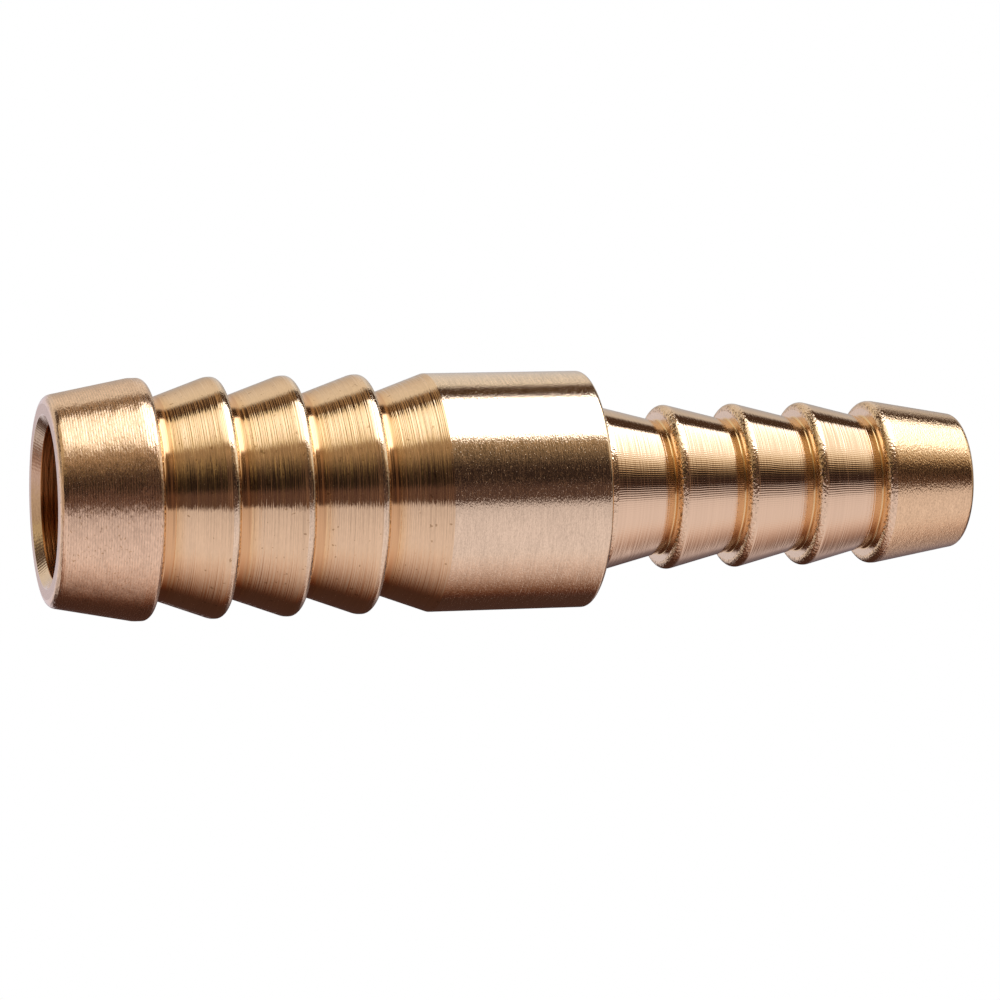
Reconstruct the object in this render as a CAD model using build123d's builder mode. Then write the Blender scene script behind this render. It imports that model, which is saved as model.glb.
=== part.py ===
from build123d import *
import os
from math import radians, tan

# Hose barb reducer, turned in one piece from round brass bar.
# It stands on its large end: the origin is the centre of the large end face
# and +Z runs along the bore to the small end. All lengths are in millimetres.

# The bar, which is left as drawn on the body and on the crests of the large end
bar_diameter = 11.11
body_length = 7.585
shoulder_chamfer = 0.12

# The form tools that plunge the grooves, one tool for each end, with the same nose
grooves_per_end = 4
large_groove_length = 2.86
small_groove_length = 3.0
tool_corner_flat = 0.3

# Large end, for hose of 3/8 in bore
large_barb_height = 1.035
large_barb_pitch = 3.435
large_crest_chamfer = 0.21
large_nose_length = 4.63
large_nose_land = 0.74
large_nose_rise = 0.745
large_nose_chamfer = 0.24

# Small end, for hose of 1/4 in bore
small_crest_diameter = 7.76
small_barb_height = 0.77
small_barb_pitch = 3.42
small_crest_chamfer = 0.21
small_neck_land = 0.75
small_nose_length = 4.61
small_nose_land = 0.5
small_nose_rise = 0.71
small_nose_chamfer = 0.17

# The bores, drilled from the large end: the walls are those left under the roots
large_wall = 0.95
small_wall = 0.73
large_bore_end_below_shoulder = 3.85
drill_point_angle = 118.0
large_mouth_chamfer = 0.4
small_mouth_chamfer = 0.2

# Radii that follow
bar_radius = bar_diameter / 2
small_crest_radius = small_crest_diameter / 2
large_root_radius = bar_radius - large_barb_height
small_root_radius = small_crest_radius - small_barb_height
large_nose_radius = bar_radius - large_nose_rise
small_nose_radius = small_crest_radius - small_nose_rise
large_bore_radius = large_root_radius - large_wall
small_bore_radius = small_root_radius - small_wall

# Heights that follow: each stem is a stack of barbs, counted by the square backs of their grooves
groove_numbers = range(grooves_per_end)
large_backs = [large_nose_length + number * large_barb_pitch for number in groove_numbers]
body_height = large_backs[-1] + large_groove_length
shoulder_height = body_height + body_length
small_first_back = shoulder_height + small_neck_land + small_groove_length
small_backs = [small_first_back + number * small_barb_pitch for number in groove_numbers]
overall_length = small_backs[-1] + small_nose_length
large_bore_end = shoulder_height - large_bore_end_below_shoulder
drill_point_length = (large_bore_radius - small_bore_radius) / tan(radians(drill_point_angle / 2))


def groove_section(back, length, crest_radius, root_radius):
    """Corners of one plunged groove, from its root outwards up the square back and home down the cone.

    The cone runs from the root to the crest over the groove's length, which is negative where the
    groove lies below its back. Past the crest the tool goes straight out by the groove's own depth,
    so it clears the bar.
    """
    outside = crest_radius + (crest_radius - root_radius)
    far_end = back + length
    return [(root_radius, back), (outside, back), (outside, far_end), (crest_radius, far_end)]


def on_circles(shape, radius, heights):
    """Circular edges of this radius that lie at one of these heights."""
    circles = shape.edges().filter_by(GeomType.CIRCLE)
    at_radius = circles.filter_by(lambda edge: abs(edge.radius - radius) < 1e-4)
    return at_radius.filter_by(
        lambda edge: any(abs(edge.arc_center.Z - height) < 1e-4 for height in heights)
    )


with BuildPart() as reducer_body:
    # The bar is turned down past the shoulder, and a long taper leads the hose on at each end
    with BuildSketch(Plane.XZ):
        with BuildLine():
            Polyline(
                (0, 0),
                (large_nose_radius, 0),
                (bar_radius, large_nose_length - large_nose_land),
                (bar_radius, shoulder_height),
                (small_crest_radius, shoulder_height),
                (small_crest_radius, small_backs[-1] + small_nose_land),
                (small_nose_radius, overall_length),
                (0, overall_length),
                close=True,
            )
        make_face()
    revolve(axis=Axis.Z)
    chamfer(on_circles(reducer_body, large_nose_radius, [0]), large_nose_chamfer)
    chamfer(on_circles(reducer_body, small_nose_radius, [overall_length]), small_nose_chamfer)
    chamfer(on_circles(reducer_body, bar_radius, [shoulder_height]), shoulder_chamfer)

    # The barbs are what is left between the grooves: each has a cone, a narrow land and a square back
    large_grooves = [(back, large_groove_length, bar_radius, large_root_radius) for back in large_backs]
    small_grooves = [
        (back, -small_groove_length, small_crest_radius, small_root_radius) for back in small_backs
    ]
    for one_groove in large_grooves + small_grooves:
        with BuildSketch(Plane.XZ) as groove:
            with BuildLine():
                Polyline(*groove_section(*one_groove), close=True)
            make_face()
            chamfer(groove.vertices().sort_by(Axis.X)[0], tool_corner_flat)
        revolve(axis=Axis.Z, mode=Mode.SUBTRACT)

    # The edge that grips the hose, at the back of each crest, is broken so that it does not cut the hose
    chamfer(on_circles(reducer_body, bar_radius, large_backs), large_crest_chamfer)
    chamfer(on_circles(reducer_body, small_crest_radius, small_backs), small_crest_chamfer)

    # The large bore's drill point runs into the small bore, and both mouths are countersunk
    with BuildSketch(Plane.XZ):
        with BuildLine():
            Polyline(
                (0, 0),
                (large_bore_radius + large_mouth_chamfer, 0),
                (large_bore_radius, large_mouth_chamfer),
                (large_bore_radius, large_bore_end),
                (small_bore_radius, large_bore_end + drill_point_length),
                (small_bore_radius, overall_length - small_mouth_chamfer),
                (small_bore_radius + small_mouth_chamfer, overall_length),
                (0, overall_length),
                close=True,
            )
        make_face()
    revolve(axis=Axis.Z, mode=Mode.SUBTRACT)

reducer_body.part.label = "reducer_body"

os.makedirs("parts", exist_ok=True)
export_step(reducer_body.part, "parts/reducer_body.step")

print("overall length", round(overall_length, 2), "shoulder at", round(shoulder_height, 2))
print("large barb backs", [round(back, 2) for back in large_backs])
print("small barb backs", [round(back, 2) for back in small_backs])
print("bore radii", round(large_bore_radius, 3), round(small_bore_radius, 3))
print("large bore ends at", large_bore_end, "small bore starts at", large_bore_end + drill_point_length)
print("volume", round(reducer_body.part.volume, 1), "cubic millimetres")
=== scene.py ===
# %% [markdown]
# Hose barb reducer, seen as it looks on a photographer's table.
# The fitting is one piece of brass, turned from round bar: a barbed stem for
# a 3/8 in hose, a plain body, and a barbed stem for a 1/4 in hose.
# The imported solid gives its size and place, and it is loaded first.

from math import cos, pi, radians, sin

import bpy
import numpy as np
from mathutils import Matrix, Vector


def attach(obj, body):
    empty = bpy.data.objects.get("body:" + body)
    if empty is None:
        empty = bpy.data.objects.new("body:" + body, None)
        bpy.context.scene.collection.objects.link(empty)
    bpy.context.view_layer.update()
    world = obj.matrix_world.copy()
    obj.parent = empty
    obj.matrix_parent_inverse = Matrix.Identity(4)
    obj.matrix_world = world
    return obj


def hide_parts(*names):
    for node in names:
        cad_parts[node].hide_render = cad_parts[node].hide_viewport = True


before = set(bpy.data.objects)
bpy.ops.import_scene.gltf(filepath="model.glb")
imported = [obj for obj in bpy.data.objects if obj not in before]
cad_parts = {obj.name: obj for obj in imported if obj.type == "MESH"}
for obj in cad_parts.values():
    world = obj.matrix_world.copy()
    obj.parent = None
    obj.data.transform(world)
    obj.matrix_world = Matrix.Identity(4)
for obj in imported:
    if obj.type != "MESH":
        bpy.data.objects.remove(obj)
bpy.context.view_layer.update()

# %% [markdown]
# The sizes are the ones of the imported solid, in millimetres, and are turned
# into metres only when a mesh is made. Both stems are stacks of equal barbs,
# so the height of the first square back and the pitch place every edge.

# %% Sizes of the fitting
MM = 0.001

bar_radius = 5.555
large_root_radius = 4.52
large_nose_radius = 4.81
large_nose_corner = 3.89
large_pitch = 3.435
large_groove_length = 2.86
large_backs = 4.63 + large_pitch * np.arange(4)

small_crest_radius = 3.88
small_root_radius = 3.11
small_nose_radius = 3.17
small_nose_corner = 39.89
small_groove_length = 3.0
small_backs = 29.13 + 3.42 * np.arange(4)

shoulder_height = 25.38
part_length = 44.0

large_bore_radius = 3.57
large_bore_end = 21.53
large_mouth_chamfer = 0.4
small_bore_radius = 2.38
small_bore_start = 22.245
small_mouth_chamfer = 0.2

print("large barb backs at", large_backs.round(2), "small barb backs at", small_backs.round(2))

# %% [markdown]
# The photograph was taken with a long lens, close to the part, looking a
# little towards the large end so that its mouth shows. The part lay on its
# side there. Here it stands on its large end, so the camera is rolled until
# the picture's right is the part's +Z. The lens and the angles come from a
# fit of the part's outline to the photograph.

# %% Camera
camera_place = Vector((0.431, -180.683, -28.01))
lens_length = 144.13
lean = radians(15.305)
roll = radians(1.426)

camera_forward = Vector((0, cos(lean), sin(lean)))
stem_across_view = Vector((0, -sin(lean), cos(lean)))
side_across_view = Vector((1, 0, 0))
picture_right = cos(roll) * stem_across_view + sin(roll) * side_across_view
picture_down = cos(roll) * side_across_view - sin(roll) * stem_across_view
camera_turn = Matrix((picture_right, -picture_down, -camera_forward)).transposed()

camera = bpy.data.objects.new("camera", bpy.data.cameras.new("camera"))
bpy.context.scene.collection.objects.link(camera)
camera.matrix_world = Matrix.Translation(camera_place * MM) @ camera_turn.to_4x4()
camera.data.sensor_width = 36
camera.data.lens = lens_length
camera.data.clip_start = 0.01
bpy.context.scene.camera = camera
print("camera at", [round(v, 4) for v in camera.location], "m, lens", lens_length, "mm")

# %% [markdown]
# One brass bar carries thirteen finishes, because each cut leaves its own
# marks: the drawn bar, the cones, the noses, the square faces, the roots, the
# edges and the bores. A number for each finish is enough for the mesh, where
# every face says by number which material it has. The materials are added
# further down in this same order.

# %% Finishes by number
(DRAWN_SKIN, LARGE_CONE, LARGE_NOSE, SMALL_CONE, SMALL_CREST, SMALL_NOSE, SQUARE_FACE, MOUTH, BORE,
 LARGE_ROOT, SMALL_ROOT, CREST_EDGE, END_FACE) = range(13)
print("finishes:", END_FACE + 1)

# %% [markdown]
# A turned part is one outline carried round an axis. The outline is a closed
# loop: up the outside, over the small end face, and down through the two
# bores. Each corner has a radius, because no cutting tool leaves a perfectly
# sharp corner: the nose of the form tool rounds the roots, and the edge of
# each crest is rounded by a third of a millimetre, so that it grips the hose
# but doesn't cut it. Each corner also says which finish its own round has,
# and which finish covers the run from it to the next corner.
# The large end comes first: a nose, three barbs and a last cone. Each crest
# ends in a rounded gripping edge and a square back, and from the root beside
# it a cone rises to the next crest. The last cone meets the body at a plain
# edge, and the others roll over into the lands of their crests.

# %% Corners of the large end
crest_edge_break = 0.21
crest_edge_round = 0.34
mouth_rim_round = 0.04
large_tip_round = 0.42
large_land_round = 1.2
large_crest_round = 0.9
body_edge_round = 0.25
root_back_round = 0.22
root_cone_round = 0.6
root_flat = 0.45
root_flat_radius = large_root_radius + root_flat * (bar_radius - large_root_radius) / large_groove_length

large_corners = [
    (large_bore_radius + large_mouth_chamfer, 0.0, mouth_rim_round, MOUTH, END_FACE),
    (large_nose_radius, 0.0, large_tip_round, LARGE_NOSE, LARGE_NOSE),
    (bar_radius, large_nose_corner, large_land_round, LARGE_NOSE, LARGE_NOSE),
]
for back in large_backs:
    land_finish = LARGE_NOSE if back == large_backs[0] else DRAWN_SKIN
    cone_end_round = body_edge_round if back == large_backs[-1] else large_crest_round
    large_corners += [
        (bar_radius, back - crest_edge_break, crest_edge_round, land_finish, CREST_EDGE),
        (bar_radius - crest_edge_break, back, crest_edge_round, CREST_EDGE, SQUARE_FACE),
        (root_flat_radius, back, root_back_round, LARGE_ROOT, LARGE_ROOT),
        (root_flat_radius, back + root_flat, root_cone_round, LARGE_ROOT, LARGE_CONE),
        (bar_radius, back + large_groove_length, cone_end_round, LARGE_CONE, DRAWN_SKIN),
    ]
print("large end:", len(large_corners), "corners")

# %% [markdown]
# The small end follows the body. Its grooves were plunged by the same kind
# of tool, but its crests were turned too, so they have a finish of their own,
# and its barbs face the other way.

# %% Corners of the body and the small end
shoulder_round = 0.2
neck_round = 0.12
small_crest_round = 0.45
small_root_round = 0.09
small_land_round = 0.8
small_tip_round = 0.3

small_corners = [
    (bar_radius, shoulder_height, shoulder_round, DRAWN_SKIN, SQUARE_FACE),
    (small_crest_radius, shoulder_height, neck_round, SQUARE_FACE, SMALL_CREST),
]
for back in small_backs:
    small_corners += [
        (small_crest_radius, back - small_groove_length, small_crest_round, SMALL_CONE, SMALL_CONE),
        (small_root_radius, back, small_root_round, SMALL_ROOT, SQUARE_FACE),
        (small_crest_radius - crest_edge_break, back, crest_edge_round, CREST_EDGE, CREST_EDGE),
        (small_crest_radius, back + crest_edge_break, crest_edge_round, SMALL_CREST, SMALL_CREST),
    ]
small_corners += [
    (small_crest_radius, small_nose_corner, small_land_round, SMALL_NOSE, SMALL_NOSE),
    (small_nose_radius, part_length, small_tip_round, SMALL_NOSE, END_FACE),
]
print("body and small end:", len(small_corners), "corners")

# %% [markdown]
# The bore was drilled from the large end. The large drill's point leaves a
# cone that runs into the small bore, and both mouths are countersunk.

# %% Corners of the bores
small_lip_round = 0.05
large_lip_round = 0.06
drill_corner_round = 0.1

bore_corners = [
    (small_bore_radius + small_mouth_chamfer, part_length, mouth_rim_round, MOUTH, MOUTH),
    (small_bore_radius, part_length - small_mouth_chamfer, small_lip_round, BORE, BORE),
    (small_bore_radius, small_bore_start, drill_corner_round, BORE, BORE),
    (large_bore_radius, large_bore_end, drill_corner_round, BORE, BORE),
    (large_bore_radius, large_mouth_chamfer, large_lip_round, BORE, MOUTH),
]
corners = np.array(large_corners + small_corners + bore_corners)
print(len(corners), "corners on the whole outline")

# %% [markdown]
# The corners could be softened with a Bevel modifier, but that gives every
# edge of the part one width. Working the rounds out along the outline gives
# each corner its own radius, and keeps every run between two rounds exactly
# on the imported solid. Each run also gets a ring of points close to each of
# its ends, so that smooth shading bends only inside the rounds.

# %% Rounded outline
def rounded_outline(corners, arc_points=8, margin=0.006):
    """Each corner of the closed outline becomes an arc that touches both of its runs.
    Radius r touches a corner of angle a at r / tan(a / 2) from it, and its centre lies
    on the corner's middle line at r / sin(a / 2). One more point lies on each run, a
    margin outside the arc. Returns points (radius, height) and the finish after each."""
    place, rounding = corners[:, :2], corners[:, 2:3]
    back = np.roll(place, 1, 0) - place
    ahead = np.roll(place, -1, 0) - place
    back /= np.linalg.norm(back, axis=1, keepdims=True)
    ahead /= np.linalg.norm(ahead, axis=1, keepdims=True)
    half = np.arccos(np.clip((back * ahead).sum(1, keepdims=True), -1, 1)) / 2
    reach = rounding / np.tan(half)
    middle = (back + ahead) / np.linalg.norm(back + ahead, axis=1, keepdims=True)
    centre = place + middle * rounding / np.sin(half)
    first = (place + back * reach - centre)[:, None]
    last = (place + ahead * reach - centre)[:, None]
    share = np.linspace(0, 1, arc_points)[None, :, None]
    swing = (pi - 2 * half)[:, None, :]
    arc = (np.sin((1 - share) * swing) * first + np.sin(share * swing) * last) / np.sin(swing)
    arc += centre[:, None]
    before = (place + back * (reach + margin))[:, None]
    after = (place + ahead * (reach + margin))[:, None]
    points = np.concatenate([before, arc, after], 1)
    finish = np.repeat(corners[:, 3:4], arc_points + 2, 1)
    finish[:, -2:] = corners[:, 4:5]
    finish[:, 0] = np.roll(corners[:, 4], 1)
    return points.reshape(-1, 2), finish.astype(int).ravel()


outline, outline_finish = rounded_outline(corners)
print(len(outline), "points on the rounded outline, largest radius", outline[:, 0].max().round(4), "mm")

# %% [markdown]
# Carrying the outline round the axis gives a closed, ring-shaped surface
# with no poles, because the bore goes right through. A Screw modifier could
# do this, but a grid worked out at once keeps the finish of every face in
# step with the outline. The outline runs up the outside, so each face is
# wound to look away from the brass.

# %% Turn the outline into the fitting
def turned_mesh(name, outline, finish, turns=180):
    """A point of the surface at angle t round the axis and place s along the outline is
    (radius(s) cos t, radius(s) sin t, height(s)). Both parameters close on themselves."""
    angle = 2 * pi * np.arange(turns) / turns
    points = np.empty((len(outline), turns, 3))
    points[:, :, 0] = outline[:, :1] * np.cos(angle)
    points[:, :, 1] = outline[:, :1] * np.sin(angle)
    points[:, :, 2] = outline[:, 1:]
    number = np.arange(len(outline) * turns).reshape(len(outline), turns)
    above, beside = np.roll(number, -1, 0), np.roll(number, -1, 1)
    faces = np.stack([number, beside, np.roll(beside, -1, 0), above], -1).reshape(-1, 4)
    mesh = bpy.data.meshes.new(name)
    mesh.from_pydata(points.reshape(-1, 3) * MM, [], faces)
    mesh.polygons.foreach_set("material_index", np.repeat(finish, turns).astype(np.int32))
    mesh.polygons.foreach_set("use_smooth", np.ones(len(faces), bool))
    return mesh


reducer = bpy.data.objects.new("reducer", turned_mesh("reducer", outline, outline_finish))
bpy.context.scene.collection.objects.link(reducer)
print("reducer:", 2 * len(reducer.data.polygons), "triangles")

# %% [markdown]
# Every finish on this part is the same brass, cut in a different way, so the
# finishes share one kit of node helpers. The first two make the node trees
# shorter to read: one adds any node, the other does one piece of arithmetic.

# %% Helpers that add nodes
def add(tree, kind, inputs=None, **settings):
    """Adds one shader node, sets its choices, and sets or links its inputs."""
    node = tree.nodes.new("ShaderNode" + kind)
    for name, value in settings.items():
        setattr(node, name, value)
    for socket, value in (inputs or {}).items():
        if isinstance(value, bpy.types.NodeSocket):
            tree.links.new(value, node.inputs[socket])
        else:
            node.inputs[socket].default_value = value
    return node


def work(tree, operation, first, second=0.0, third=0.0, **settings):
    """One Math node: the operation done on up to three numbers."""
    return add(tree, "Math", {0: first, 1: second, 2: third}, operation=operation, **settings).outputs[0]


print("helpers: add, work")

# %% [markdown]
# The marks of a tool are noise that is stretched: long round the part and
# short along it gives turned rings, and nearly round cells give grain.
# Lengths are in millimetres and heights in thousandths of a millimetre, the
# units that a machinist would use for them.

# %% Helpers for grain, rings and spots
def millimetres(tree):
    """The place on the part, in millimetres from the centre of its large end face."""
    place = add(tree, "TexCoord").outputs["Object"]
    return add(tree, "VectorMath", {0: place, "Scale": 1 / MM}, operation="SCALE").outputs[0]


def marks(tree, place, across, along, detail=1.0, start=0.0):
    """Noise of mean 0 and about 1 at its strongest. Its grains are across mm wide round
    the part and along mm long up its axis, so a large across draws rings."""
    grain_scale = (1 / across, 1 / across, 1 / along)
    moved = add(tree, "Mapping", {"Vector": place, "Location": (start,) * 3, "Scale": grain_scale})
    noise = add(tree, "TexNoise", {"Vector": moved.outputs[0], "Scale": 1.0, "Detail": detail,
                                   "Roughness": 0.55})
    return work(tree, "MULTIPLY_ADD", noise.outputs["Fac"], 4.0, -2.0)


def specks(tree, pattern, above, sharp=6.0):
    """1 where the pattern stands over a level, 0 elsewhere, with a soft rim between."""
    return work(tree, "MULTIPLY_ADD", pattern, sharp, -above * sharp, use_clamp=True)


def height_sum(tree, heights):
    """Adds up heights given as (pattern, thousandths of a millimetre)."""
    total = 0.0
    for pattern, size in heights:
        total = work(tree, "MULTIPLY_ADD", pattern, size, total)
    return total


print("helpers: millimetres, marks, specks, height_sum")

# %% [markdown]
# Two marks are regular. A tool fed at a steady rate leaves a fine screw line,
# and a tool that vibrates leaves chatter: hundreds of small waves round the
# part that run along it.

# %% Helpers for feed lines and chatter
def feed_lines(tree, place, pitch):
    """The screw line that a tool leaves at a steady feed: a sine of the height over its pitch."""
    height = add(tree, "SeparateXYZ", {0: place}).outputs["Z"]
    return work(tree, "SINE", work(tree, "MULTIPLY", height, 2 * pi / pitch))


def chatter(tree, place, count, drift=1.2):
    """Waves that run along the part: the sine of the angle round the axis times their count.
    The drift, in radians, lets the waves wander as they do when a tool chatters. They swell
    three times round, where the three jaws of the lathe's chuck hold the bar."""
    parts = add(tree, "SeparateXYZ", {0: place})
    angle = work(tree, "ARCTAN2", parts.outputs["Y"], parts.outputs["X"])
    wander = work(tree, "MULTIPLY", marks(tree, place, 2.5, 0.9, start=0.4), drift)
    waves = work(tree, "SINE", work(tree, "MULTIPLY_ADD", angle, count, wander))
    jaws = work(tree, "MULTIPLY_ADD", work(tree, "SINE", work(tree, "MULTIPLY", angle, 3.0)), 0.5, 0.5)
    return work(tree, "MULTIPLY", waves, jaws)


print("helpers: feed_lines, chatter")

# %% [markdown]
# Brass mirrors its surroundings and has no colour under its gloss, so each
# finish is a metal whose base colour tints the mirror image. Turning leaves
# fine grooves that run round the part. They scatter light along the part much
# more than round it, and the anisotropic gloss is turned a quarter to say so.
# The grooves that are wide enough to see are added as a bump. A roughness
# that is the same all over stays on the shader's own socket.

# %% The brass that all finishes share
redder_brass_loss = (0.0, -0.16, -0.42)


def is_pattern(value):
    """Whether a value changes over the surface, or is one number."""
    return isinstance(value, bpy.types.NodeSocket)


def brass(name, build, colour, roughness, stretch):
    """A metal with its gloss stretched along the part. build(tree, place) adds its marks
    and returns their height, a change of roughness, a change of brightness, and how much
    redder the brass is there, from 0 to 1."""
    material = bpy.data.materials.new(name)
    material.use_nodes = True
    tree = material.node_tree
    metal = tree.nodes["Principled BSDF"]
    metal.inputs["Metallic"].default_value = 1.0
    metal.inputs["Roughness"].default_value = roughness
    metal.inputs["Anisotropic"].default_value = stretch
    metal.inputs["Anisotropic Rotation"].default_value = 0.25
    height, rougher, brighter, redder = build(tree, millimetres(tree))
    bump = add(tree, "Bump", {"Height": height, "Distance": 0.001 * MM, "Strength": 1.0})
    tree.links.new(bump.outputs[0], metal.inputs["Normal"])
    if is_pattern(rougher):
        tree.links.new(work(tree, "ADD", rougher, roughness), metal.inputs["Roughness"])
    brightness = work(tree, "ADD", brighter, 1.0)
    tint = add(tree, "VectorMath", {0: colour, "Scale": brightness}, operation="SCALE")
    if is_pattern(redder):
        loss = add(tree, "VectorMath", {0: redder_brass_loss, "Scale": redder}, operation="SCALE")
        left = add(tree, "VectorMath", {0: loss.outputs[0], 1: (1.0, 1.0, 1.0)}, operation="ADD")
        tint = add(tree, "VectorMath", {0: tint.outputs[0], 1: left.outputs[0]}, operation="MULTIPLY")
    tree.links.new(tint.outputs[0], metal.inputs["Base Color"])
    reducer.data.materials.append(material)
    print("finish", len(reducer.data.materials) - 1, name, "with", len(tree.nodes), "nodes")


print("helper: brass")

# %% [markdown]
# The body and the crests of the large end are the untouched bar. It was pulled
# through a die and then rolled about in a bin, so its skin is a fine grain of
# shallow dents with faint rings from the straightening rolls. The grain is
# bump, for the sparkle where light meets dark, and a little shade, for the
# dull dots that stay where the light is even.

# %% Drawn skin of the bar
def drawn_skin_marks(tree, place):
    grain = marks(tree, place, 0.22, 0.05, start=3.1)
    fine = marks(tree, place, 0.09, 0.05, start=6.3)
    streaks = marks(tree, place, 1.2, 0.055, start=7.7)
    patches = marks(tree, place, 1.6, 0.7, detail=2.0, start=1.3)
    spots = specks(tree, fine, 0.8)
    height = height_sum(tree, [(grain, 1.6), (fine, 1.2), (streaks, 1.7), (spots, 1.6)])
    rougher = height_sum(tree, [(streaks, 0.03), (patches, 0.015), (spots, 0.08)])
    shade = height_sum(tree, [(grain, 0.09), (fine, 0.12), (streaks, 0.10), (patches, 0.04)])
    return height, rougher, shade, 0.0


brass("drawn_skin", drawn_skin_marks, colour=(0.86, 0.63, 0.38), roughness=0.12, stretch=0.5)

# %% [markdown]
# The cones of the large end were cut by a wide form tool. Its edge was ground
# by hand, and every nick in it drew a ring right round the cone. The rings
# are noise 40 mm long, so that none of them ends on its way round. Next to
# each root the cone mirrors the square back beside it. Brass seen in brass is
# redder, so a redder tint there fades out in the first third of each barb.
# A few brown spots of tarnish lie on the cones.

# %% Turned cones of the large end
def large_cone_marks(tree, place):
    rings = marks(tree, place, 40.0, 0.07, start=5.2)
    deep = marks(tree, place, 40.0, 0.26, start=2.9)
    grain = marks(tree, place, 0.3, 0.06, start=2.4)
    spots = specks(tree, marks(tree, place, 0.25, 0.22, start=7.4), 0.81)
    height = height_sum(tree, [(rings, 6.5), (deep, 4.0), (grain, 0.7)])
    shade = height_sum(tree, [(rings, 0.06), (deep, 0.02), (grain, 0.05), (spots, -0.35)])
    up = add(tree, "SeparateXYZ", {0: place}).outputs["Z"]
    barbs_up = work(tree, "MULTIPLY_ADD", up, 1 / large_pitch, -large_backs[0] / large_pitch)
    near_root = add(tree, "MapRange", {"Value": work(tree, "FRACT", barbs_up), "From Min": 0.1,
                                       "From Max": 0.34, "To Min": 1.0, "To Max": 0.0},
                    interpolation_type="SMOOTHSTEP").outputs[0]
    redder = height_sum(tree, [(near_root, 0.7), (spots, 0.4)])
    return height, height_sum(tree, [(rings, 0.03)]), shade, redder


brass("turned_large_cone", large_cone_marks, colour=(0.86, 0.58, 0.31), roughness=0.095, stretch=0.4)

# %% [markdown]
# The nose is the first thing to be pushed into a hose and to be knocked on
# the bench. Fine feed lines still show on it under a satin grain, it is
# gently uneven, and small brown spots sit in its dents.

# %% Grainy nose of the large end
def large_nose_marks(tree, place):
    grain = marks(tree, place, 0.22, 0.055, detail=2.0, start=8.2)
    lines = feed_lines(tree, place, 0.118)
    spots = specks(tree, marks(tree, place, 0.14, 0.1, start=4.3), 0.7)
    patches = marks(tree, place, 1.3, 0.5, detail=2.0, start=3.3)
    height = height_sum(tree, [(grain, 3.2), (lines, 1.9), (patches, 9.0)])
    shade = height_sum(tree, [(grain, 0.18), (lines, 0.08), (patches, 0.07), (spots, -0.32)])
    return height, 0.0, shade, work(tree, "MULTIPLY", spots, 0.6)


brass("grainy_large_nose", large_nose_marks, colour=(0.84, 0.56, 0.325), roughness=0.19, stretch=0.4)

# %% [markdown]
# The thinner stem sprang away from the tool as it was cut, so its cones show
# chatter as well as rings. The waves run along the part, and they show best
# where the mirror image goes from dark to light.

# %% Turned cones of the small end
def small_cone_marks(tree, place):
    rings = marks(tree, place, 40.0, 0.06, detail=2.0, start=4.4)
    waves = chatter(tree, place, 224.0)
    height = height_sum(tree, [(rings, 2.2), (waves, 1.5)])
    return height, 0.0, height_sum(tree, [(rings, 0.05)]), 0.0


brass("turned_small_cone", small_cone_marks, colour=(0.87, 0.60, 0.35), roughness=0.10, stretch=0.4)

# %% [markdown]
# The crests of the small end are narrow lands that parts in a bin knock
# against. Their grain is coarse for their width, so they look like a string
# of small bright and dark beads.

# %% Crests of the small end
def small_crest_marks(tree, place):
    grain = marks(tree, place, 0.14, 0.10, start=9.1)
    return height_sum(tree, [(grain, 8.0)]), 0.0, work(tree, "MULTIPLY", grain, 0.15), 0.0


brass("small_crest", small_crest_marks, colour=(0.86, 0.60, 0.35), roughness=0.12, stretch=0.3)

# %% [markdown]
# The nose of the small end has a grain as fine as sand, with short streaks
# round the part where it slid against its neighbours.

# %% Nose of the small end
def small_nose_marks(tree, place):
    grain = marks(tree, place, 0.10, 0.055, start=9.9)
    streaks = marks(tree, place, 0.6, 0.055, start=2.7)
    height = height_sum(tree, [(grain, 3.6), (streaks, 0.9)])
    return height, 0.0, height_sum(tree, [(grain, 0.18), (streaks, 0.1)]), 0.0


brass("grainy_small_nose", small_nose_marks, colour=(0.85, 0.56, 0.29), roughness=0.13, stretch=0.4)

# %% [markdown]
# The square backs of the barbs and the shoulder were cut by the side of the
# tool. They are duller than the cones and have no rings worth seeing.

# %% Square faces
def square_face_marks(tree, place):
    grain = marks(tree, place, 0.12, 0.12, start=2.2)
    return height_sum(tree, [(grain, 1.5)]), 0.0, work(tree, "MULTIPLY", grain, 0.05), 0.0


brass("square_face", square_face_marks, colour=(0.86, 0.62, 0.38), roughness=0.22, stretch=0.3)

# %% [markdown]
# A countersink cuts slowly at the centre and rattles at its rim, so the
# chamfered mouths show chatter too, fewer and deeper waves than the cones.

# %% Countersunk mouths
def mouth_marks(tree, place):
    grain = marks(tree, place, 0.15, 0.1, start=4.9)
    waves = chatter(tree, place, 130.0)
    height = height_sum(tree, [(grain, 1.5), (waves, 2.0)])
    return height, 0.0, work(tree, "MULTIPLY", grain, 0.05), 0.0


brass("mouth", mouth_marks, colour=(0.86, 0.62, 0.38), roughness=0.2, stretch=0.3)

# %% [markdown]
# The drilled bore is rough. Its dark, deep red brown base colour is painted
# shade and painted reflection: the brass in it mirrors more brass, and the
# hole keeps light out. It is the colour of brass seen twice, made darker
# still, which saves the many bounces that the real bore needs.

# %% Drilled bore
def bore_marks(tree, place):
    rings = marks(tree, place, 3.0, 0.16, detail=2.0, start=1.9)
    return height_sum(tree, [(rings, 7.0)]), 0.0, work(tree, "MULTIPLY", rings, 0.3), 0.0


# The bore's base colour is painted shade and painted reflection of brass in brass.
brass("drilled_bore", bore_marks, colour=(0.52, 0.21, 0.06), roughness=0.3, stretch=0.5)

# %% [markdown]
# The roots were cut by the nose of the form tool. They are narrow and lie
# between two bright walls, and a redder tint stands for the brass that they
# mirror. Fine rings run round them, as on the cones.

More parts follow.
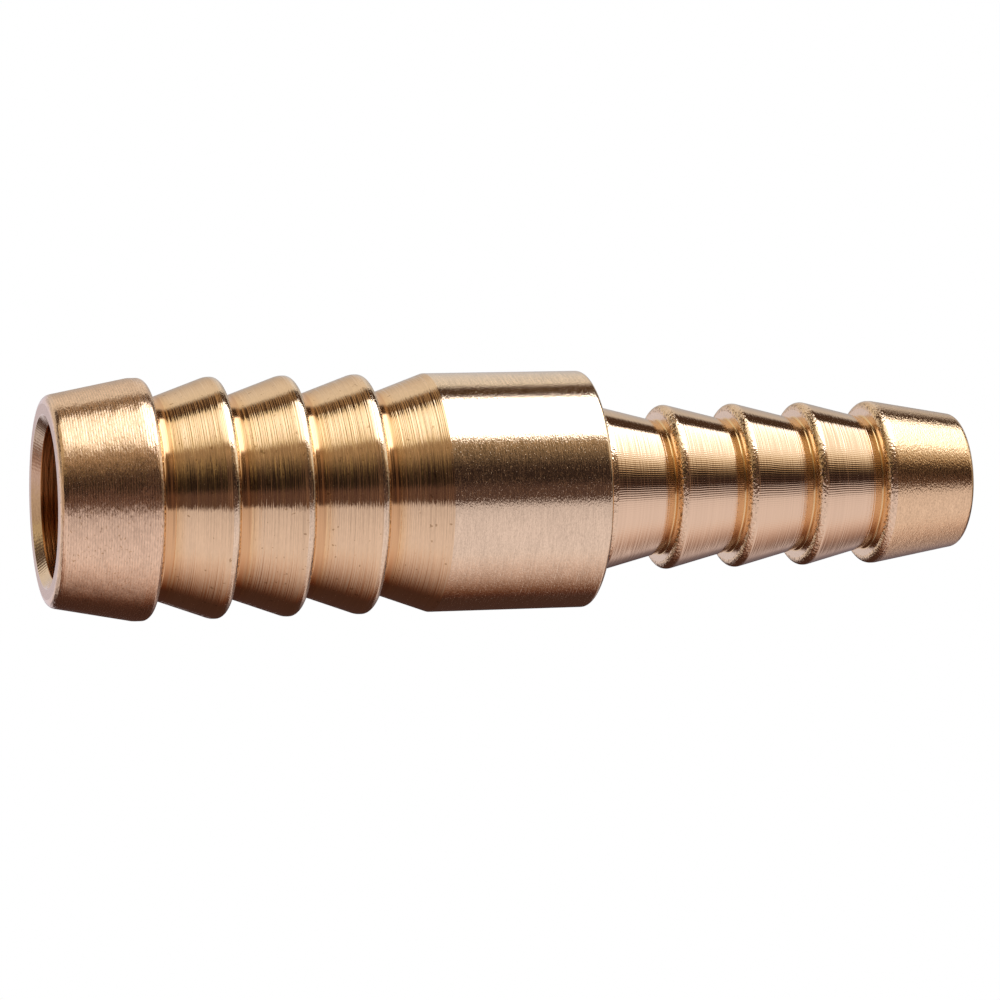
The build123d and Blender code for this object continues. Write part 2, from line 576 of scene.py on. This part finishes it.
# %% Roots of the grooves
def root_marks(tree, place):
    rings = marks(tree, place, 40.0, 0.06, start=1.1)
    return height_sum(tree, [(rings, 2.0)]), 0.0, work(tree, "MULTIPLY", rings, 0.06), 0.0


brass("large_root", root_marks, colour=(0.78, 0.44, 0.19), roughness=0.12, stretch=0.4)
brass("small_root", root_marks, colour=(0.88, 0.57, 0.25), roughness=0.16, stretch=0.5)

# %% [markdown]
# The gripping edges were broken by tumbling, so they are pitted all round.
# The pits are dark and a little red, and they are placed by a second noise,
# because in the real edge they don't follow the grain.

# %% Gripping edges of the crests
def crest_edge_marks(tree, place):
    grain = marks(tree, place, 0.13, 0.10, start=6.6)
    pits = specks(tree, marks(tree, place, 0.13, 0.09, start=5.9), 0.3, 5.0)
    height = height_sum(tree, [(grain, 9.0), (pits, -6.0)])
    shade = height_sum(tree, [(grain, 0.2), (pits, -0.5)])
    return height, 0.0, shade, work(tree, "MULTIPLY", pits, 0.7)


brass("crest_edge", crest_edge_marks, colour=(0.87, 0.58, 0.30), roughness=0.14, stretch=0.2)

# %% [markdown]
# The end faces were parted off and have a dull, even grain. It is the flat
# ring round the mouth that the part stands on.

# %% End faces
def end_face_marks(tree, place):
    grain = marks(tree, place, 0.12, 0.12, start=7.2)
    return height_sum(tree, [(grain, 2.0)]), 0.0, work(tree, "MULTIPLY", grain, 0.08), 0.0


brass("end_face", end_face_marks, colour=(0.67, 0.42, 0.22), roughness=0.25, stretch=0.2)

# %% [markdown]
# A light tent stands round the part, as small metal parts are photographed,
# because what bright metal shows is its surroundings. The tent's panels have
# the names that they had in the photograph, where the part lay on its side:
# a bright softbox above, a pale table below, a backdrop behind, and the dark
# of the room where the camera looks in. Area lamps could light the part, but
# their edges are hard in bright metal. So the tent is a ball of cloth, painted
# by angle and softly edged. Turn is the angle round the part from the camera's
# side towards the softbox, and rise is the angle from the part's middle
# towards its small end, both in degrees.

# %% Angles of the tent
turn, rise = np.meshgrid(np.arange(-180.0, 180.0), np.linspace(-87, 87, 59))
turn, rise = turn[..., None], rise[..., None]


def ease(value, low, high):
    """0 below low, 1 above high, and an even S between them: 3 s^2 - 2 s^3 of the share s."""
    share = np.clip((value - low) / (high - low), 0, 1)
    return share * share * (3 - 2 * share)


def band(value, start, full, last, gone):
    """1 from full to last, 0 before start and after gone, and an even S on each side."""
    return ease(value, start, full) * (1 - ease(value, last, gone))


def lay(glow, share, colour):
    """Covers this share of the cloth with a colour, and leaves the rest as it was."""
    return glow * (1 - share) + share * np.array(colour)


print("tent grid:", turn.shape[1], "turns by", turn.shape[0], "rises")

# %% [markdown]
# The tent starts as the dark room, and the lit things are laid over it one
# by one, from the softbox round to the table.

# %% Dark room
room_light = (0.03, 0.02, 0.02)
glow = np.ones_like(turn) * np.array(room_light)
print("room:", glow.mean((0, 1)).round(3))

# %% [markdown]
# The softbox is a flat sheet of light, so its straight edges look bent from
# the part: the turn of each edge changes with the rise. Each edge is a line of
# straight pieces, with the rises of its corners first and their turns after.
# Past the softbox there is a dark gap before the backdrop starts.

# %% Edges of the softbox
near_edge = np.interp(rise, (-17, -12, 16, 40, 45), (54, 49.5, 51, 50.5, 40))
far_edge = np.interp(rise, (-30, -20, -12, -4, 16, 27, 40), (100, 95.5, 96.5, 99, 101.5, 101, 111))
gap_end = np.interp(rise, (-40, -25, -10, 0, 16, 31, 40), (135, 126, 118, 118, 122, 136, 140))
box = band(turn, near_edge, near_edge + 4.5, far_edge - 1.5, far_edge + 2.5)
gap = band(turn, far_edge, far_edge + 1, gap_end - 4, gap_end)
print("softbox: turns", near_edge.min(), "to", far_edge.max())

# %% [markdown]
# Light from the softbox spills down the cloth below it, and gives the brass
# its slow change from dark brown to gold under the highlight. The body mirrors
# a rise of 16, and away from that the spill is wider.

# %% Spill below the softbox
spill_light = np.array((0.36, 0.28, 0.20))
body_rise = 16
spill_start = np.interp(rise, (38, 46), (20, 23))
spill = np.clip((turn - spill_start) / (near_edge - spill_start), 0, 1) ** 1.5
spill = spill * (1 - ease(turn, near_edge + 1, near_edge + 4.5))
wide = 0.6 * band(turn, 22, 36, 43, 49) * ease(np.abs(rise - body_rise), 6, 18)
glow = glow + spill * (1 + wide) * spill_light
print("spill covers", (spill > 0.1).mean().round(3), "of the tent")

# %% [markdown]
# The lamp inside the softbox makes its middle brighter than its edges. The
# dome across it is 1 - x^2 of the share x from the middle to an edge. Level
# with the body the sheet is bright from edge to edge, which the highlight on
# the body shows, and it gets weaker far above and below. At the rise that the
# large nose mirrors it is yellower.

# %% Softbox and its lamp
sheet_light = (0.80, 0.75, 0.65)
lamp_light = np.array((2.2, 2.4, 3.0))
lost_at_large_end = np.array((0.25, 0.30, 0.40))
lost_at_large_nose = np.array((0.10, 0.14, 0.30))

glow = lay(glow, box, sheet_light)
middle = (near_edge + far_edge) / 2 + 0.75
dome = np.clip(1 - ((turn - middle) / ((far_edge - near_edge) / 2 + 1.75)) ** 2, 0, 1)
level = band(rise, 0, 8, 38, 44)
lamp = (0.6 * ease(rise, -30, -14) + 0.4 * ease(rise, -4, 8)) * (1 - 0.75 * ease(rise, 38, 44))
hot = box * lamp * (dome + (1 - dome) * level)
glow = lay(glow, hot, lamp_light * (1 + 0.5 * band(rise, 10, 16, 36, 40)))
glow = glow * (1 - box * ease(-rise, 18, 32) * lost_at_large_end)
glow = glow * (1 - box * band(rise, -14, -9, -4, 2) * lost_at_large_nose)
print("brightest cloth:", glow.max().round(2))

# %% [markdown]
# The backdrop is pale cloth behind the part. It starts past the gap, reaches
# over to the table's far end, and darkens on its way down. At the rises that
# the rim of the large nose mirrors it is warmer, and that keeps the nose
# golden up to its outline.

# %% Gap and backdrop
gap_light = (0.065, 0.04, 0.03)
gap_strip_light = np.array((0.34, 0.25, 0.16))
backdrop_light = np.array((0.80, 0.79, 0.82))
lost_where_warm = np.array((0.16, 0.23, 0.32))

glow = lay(glow, gap, gap_light)
glow = glow + gap * band(rise, -10, -4, 3, 9) * gap_strip_light
round_back = np.where(turn < 0, turn + 360, turn)
backdrop = band(round_back, gap_end - 6, gap_end + 2, 178, 191)
backdrop_shade = 1 - 0.38 * ease(round_back, 134, 180)
backdrop_shade = backdrop_shade * (1 - 0.22 * ease(turn, 118, 130) * ease(rise, 18, 28))
warm_share = ease(round_back, 120, 150) * band(rise, -9, 1, 8, 13)
glow = lay(glow, backdrop, backdrop_shade * (1 - warm_share * lost_where_warm) * backdrop_light)
print("backdrop covers", (backdrop > 0.5).mean().round(3), "of the tent")

# %% [markdown]
# The table is the pale sheet below the part. It is a little darker at its
# front edge, under the camera, and fades towards the back, where the part
# itself keeps the light off. What light is left there has been on brass
# already, so the fade takes blue first, then green, then red: their lead, in
# degrees of turn, is greatest where the fade is warmest. Towards the small end
# the table stays light for longer.

# %% Table
table_colour = np.array((0.79, 0.77, 0.97))
far_end_light = np.array((0.06, 0.03, 0.025))
small_end_light = np.array((0.23, 0.23, 0.29))
fade_lead = np.array((0, 5, 8))

fade_start = np.interp(rise, (22, 27, 33, 37), (64, 82, 108, 71))
fade_end = np.interp(rise, (22, 27, 33, 37), (126, 140, 164, 128))
warmth = np.interp(rise, (-14, -8, -2, 8, 22, 28, 34, 37), (1, 0.35, 0.35, 1, 1, 0.4, 0.1, 1))
fade = ease(warmth * fade_lead - turn, fade_start, fade_end)
far_table = far_end_light + np.interp(rise, (22, 33, 37), (0, 1, 0.55)) * small_end_light
front_edge = band(rise, -18, -14, -8, 0) * (1 - 0.85 * ease(-turn, 34, 56))
table_shade = (0.84 + 0.16 * ease(-turn, 9, 43)) * (1 - 0.25 * front_edge)
table_shade = table_shade * (1 - 0.6 * ease(-turn, 92, 105) * ease(rise, 46, 58))
table_light = table_shade * (table_colour * (1 - fade) + far_table * fade)
table = ease(-turn, 11.5, 13) * (1 - ease(-turn, 165, 178))
glow = lay(glow, table, table_light)
print("table covers", (table > 0.5).mean().round(3), "of the tent")

# %% [markdown]
# The cloth beside the softbox hangs in folds, and the dark room isn't quite
# even: it is darkest near the ends of the tent and level with the body, three
# faint strips of it are lit, and the pale front of the camera stands in the
# middle. Faint as they are, they make the turned rings show in the dark bands
# of the brass, because a ring shows only where the tent changes along the
# part.

# %% Folds, faint strips and the camera
small_strip_light = np.array((0.16, 0.11, 0.08))
nose_strip_light = np.array((0.12, 0.08, 0.06))
warm_strip_light = np.array((0.38, 0.30, 0.17))
camera_light = np.array((0.052, 0.031, 0.031))

beside = band(turn, 11, 13, near_edge - 1, near_edge)
beside = beside + band(turn, far_edge + 1, far_edge + 2, gap_end, gap_end + 2)
folds = np.interp(rise, (7, 11, 16, 23, 29), (1, 0.5, 1, 1.9, 1))
glow = glow * (1 + beside * (folds - 1))
body_dark = band(turn, 8, 14, 44, 50) * band(rise, 9, 14, 18, 22)
glow = glow * (1 - 0.32 * body_dark)
room = band(turn, -13, -11, 40, 50)
ends = np.maximum(ease(rise, 41, 45) * (1 - ease(turn, 16, 30)), ease(-rise, 16, 24))
glow = glow * (1 - 0.5 * room * ends)
glow = glow + room * band(rise, 29, 34, 37, 41) * small_strip_light
glow = glow + room * band(rise, -10, -2, 3, 9) * nose_strip_light
warm_strip = room * band(-rise, 27, 32, 34, 38) * (0.15 + 0.85 * ease(turn, 14, 36))
glow = glow + warm_strip * warm_strip_light
camera_front = band(turn, -13, -11.5, 3, 9) * (1 + 0.5 * ease(-rise, -8, 8))
glow = glow + camera_front * camera_light
print("warm strip covers", (warm_strip > 0.1).mean().round(3), "of the tent")

# %% [markdown]
# The last parts of the tent are mirrored only by the square backs, the mouth
# and the rounded edges: the foot of the backdrop behind the part, the cloth
# near the two ends, and the closed foot and top of the ball.

# %% Foot, ends and top
low_back_light = (0.72, 0.72, 0.88)
low_room_light = np.array((0.34, 0.26, 0.22))
low_table_light = np.array((0.20, 0.20, 0.33))
foot_light = (0.52, 0.44, 0.40)
top_light = (0.30, 0.26, 0.24)

low_back = np.maximum(ease(np.abs(turn), 158, 164) * (1 - ease(rise, 1, 5)),
                      ease(-turn, 112, 135) * ease(-rise, 24, 40))
glow = lay(glow, low_back, low_back_light)
low = ease(-rise, 60, 72) * (1 - ease(turn, 60, 85)) * (1 - ease(-turn, 105, 130))
glow = lay(glow, low, low_room_light + band(-turn, 8, 16, 150, 170) * low_table_light)
glow = lay(glow, ease(-rise, 70, 82), foot_light)
glow = lay(glow, ease(rise, 62, 80), top_light)
print("whole tent: mean glow", glow.mean((0, 1)).round(2))

# %% [markdown]
# The ball is a grid of turn and rise, closed by one face at each pole. A point
# at turn a and rise b is (-cos b sin a, -cos b cos a, sin b) times the radius.
# Each corner keeps its glow as a colour attribute, which the cloth sends out.
# The tent lights only what mirrors it. The camera looks through it, and it
# casts no shadow, so the floor and the background stay those of a plain white
# studio.

# %% Hang the tent
tent_radius = 0.5
flat_turn, flat_rise = np.radians(turn[..., 0]), np.radians(rise[..., 0])
tent_points = tent_radius * np.stack([-np.cos(flat_rise) * np.sin(flat_turn),
                                      -np.cos(flat_rise) * np.cos(flat_turn),
                                      np.sin(flat_rise)], -1)
tent_number = np.arange(flat_turn.size).reshape(flat_turn.shape)
tent_next = np.roll(tent_number, -1, 1)
tent_faces = np.stack([tent_number[:-1], tent_number[1:], tent_next[1:], tent_next[:-1]], -1)
tent_faces = tent_faces.reshape(-1, 4)
poles = [tent_number[0].tolist(), tent_number[-1, ::-1].tolist()]

tent_mesh = bpy.data.meshes.new("light_tent")
tent_mesh.from_pydata(tent_points.reshape(-1, 3), [], tent_faces.tolist() + poles)
painted_glow = np.ones((tent_number.size, 4), np.float32)
painted_glow[:, :3] = glow.reshape(-1, 3)
tent_mesh.attributes.new("glow", "FLOAT_COLOR", "POINT").data.foreach_set("color", painted_glow.ravel())
tent = bpy.data.objects.new("light_tent", tent_mesh)
bpy.context.scene.collection.objects.link(tent)
tent.visible_camera = False
tent.visible_diffuse = False
tent.visible_shadow = False
print("tent:", len(tent_faces), "faces")

# %% [markdown]
# The cloth does nothing but send out its painted colour, so its material is
# an Emission node that reads the attribute. It isn't sampled as a lamp,
# because only the mirror images in the brass see it.

# %% Cloth of the tent
cloth = bpy.data.materials.new("tent_cloth")
cloth.use_nodes = True
cloth.node_tree.nodes.remove(cloth.node_tree.nodes["Principled BSDF"])
painted = add(cloth.node_tree, "Attribute", attribute_name="glow")
shine = add(cloth.node_tree, "Emission", {"Color": painted.outputs["Color"], "Strength": 1.0})
cloth.node_tree.links.new(shine.outputs[0], cloth.node_tree.nodes["Material Output"].inputs["Surface"])
cloth.cycles.emission_sampling = "NONE"
tent_mesh.materials.append(cloth)
print("cloth glows with the", painted.attribute_name, "attribute")

# %% [markdown]
# The part stands on a plain pale floor. In the photograph there is nothing
# below or behind the part but white, and the camera looks from under the
# plane that the part stands on. So the floor lets through what looks at it
# from below, and what the brass mirrors, and keeps the part's soft shadow
# for every view from above. It is four rings of points, closed in the middle:
# a point at angle t on the ring of radius r is (r cos t, r sin t, height).

# %% Floor
floor_rings = np.array([0.03, 0.1, 0.3, 0.8])
floor_height = -0.00004
floor_sides = 96
floor_angle = 2 * pi * np.arange(floor_sides) / floor_sides
floor_number = np.arange(len(floor_rings) * floor_sides).reshape(len(floor_rings), floor_sides)
floor_points = np.stack([np.outer(floor_rings, np.cos(floor_angle)),
                         np.outer(floor_rings, np.sin(floor_angle)),
                         np.full(floor_number.shape, floor_height)], -1)
floor_next = np.roll(floor_number, -1, 1)
floor_faces = np.stack([floor_number[:-1], floor_number[1:], floor_next[1:], floor_next[:-1]], -1)
floor_faces = floor_faces.reshape(-1, 4)
floor_mesh = bpy.data.meshes.new("floor")
inner_face = floor_number[0].tolist()
floor_mesh.from_pydata(floor_points.reshape(-1, 3), [], floor_faces.tolist() + [inner_face])
floor = bpy.data.objects.new("floor", floor_mesh)
bpy.context.scene.collection.objects.link(floor)
print("floor:", 2 * floor_rings[-1], "m across")

# %% [markdown]
# The floor's paper is pale and dull, with no gloss at all. A Mix Shader swaps
# it for a clear one where a ray comes from below or from a mirror image.

# %% Paper of the floor
paper = bpy.data.materials.new("pale_paper")
paper.use_nodes = True
paper_tree = paper.node_tree
sheet = paper_tree.nodes["Principled BSDF"]
sheet.inputs["Base Color"].default_value = (0.93, 0.93, 0.925, 1)
sheet.inputs["Roughness"].default_value = 0.9
sheet.inputs["Specular IOR Level"].default_value = 0.0
from_below = add(paper_tree, "NewGeometry").outputs["Backfacing"]
mirrored = add(paper_tree, "LightPath").outputs["Is Glossy Ray"]
see_through = work(paper_tree, "MAXIMUM", from_below, mirrored)
nothing = add(paper_tree, "BsdfTransparent").outputs[0]
mix = add(paper_tree, "MixShader", {0: see_through, 1: sheet.outputs[0], 2: nothing})
paper_tree.links.new(mix.outputs[0], paper_tree.nodes["Material Output"].inputs["Surface"])
floor_mesh.materials.append(paper)
print("paper:", len(paper_tree.nodes), "nodes")

# %% [markdown]
# The background is white for the camera and for what is mirrored, at a
# strength of 1. The same sky lights the floor a little less, and a wide, soft
# sun adds the rest, so that the part's shadow on the floor has a direction.
# The sun isn't mirrored, because the tent already holds every light that the
# brass shows.

# %% White background and soft daylight
floor_sky = 0.75
sky = bpy.data.worlds.new("studio")
sky.use_nodes = True
bpy.context.scene.world = sky
sky.cycles.sampling_method = "NONE"
path = add(sky.node_tree, "LightPath").outputs
mirrored_or_through = work(sky.node_tree, "MAXIMUM", path["Is Glossy Ray"], path["Is Transmission Ray"])
seen = work(sky.node_tree, "MAXIMUM", path["Is Camera Ray"], mirrored_or_through)
white = sky.node_tree.nodes["Background"]
white.inputs["Color"].default_value = (1, 1, 1, 1)
strength = work(sky.node_tree, "MULTIPLY_ADD", seen, 1 - floor_sky, floor_sky)
sky.node_tree.links.new(strength, white.inputs["Strength"])

day = bpy.data.objects.new("soft_daylight", bpy.data.lights.new("soft_daylight", "SUN"))
day.data.energy = 0.9
day.data.angle = radians(30)
day.rotation_euler = (radians(28), radians(-30), 0)
day.visible_glossy = False
bpy.context.scene.collection.objects.link(day)
bpy.context.scene.view_settings.view_transform = "Standard"
print("daylight strength", round(day.data.energy, 2))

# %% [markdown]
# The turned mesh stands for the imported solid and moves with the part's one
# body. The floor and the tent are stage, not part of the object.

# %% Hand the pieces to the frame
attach(reducer, "root")
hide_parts("reducer_body")
print("handed over:", reducer.name)
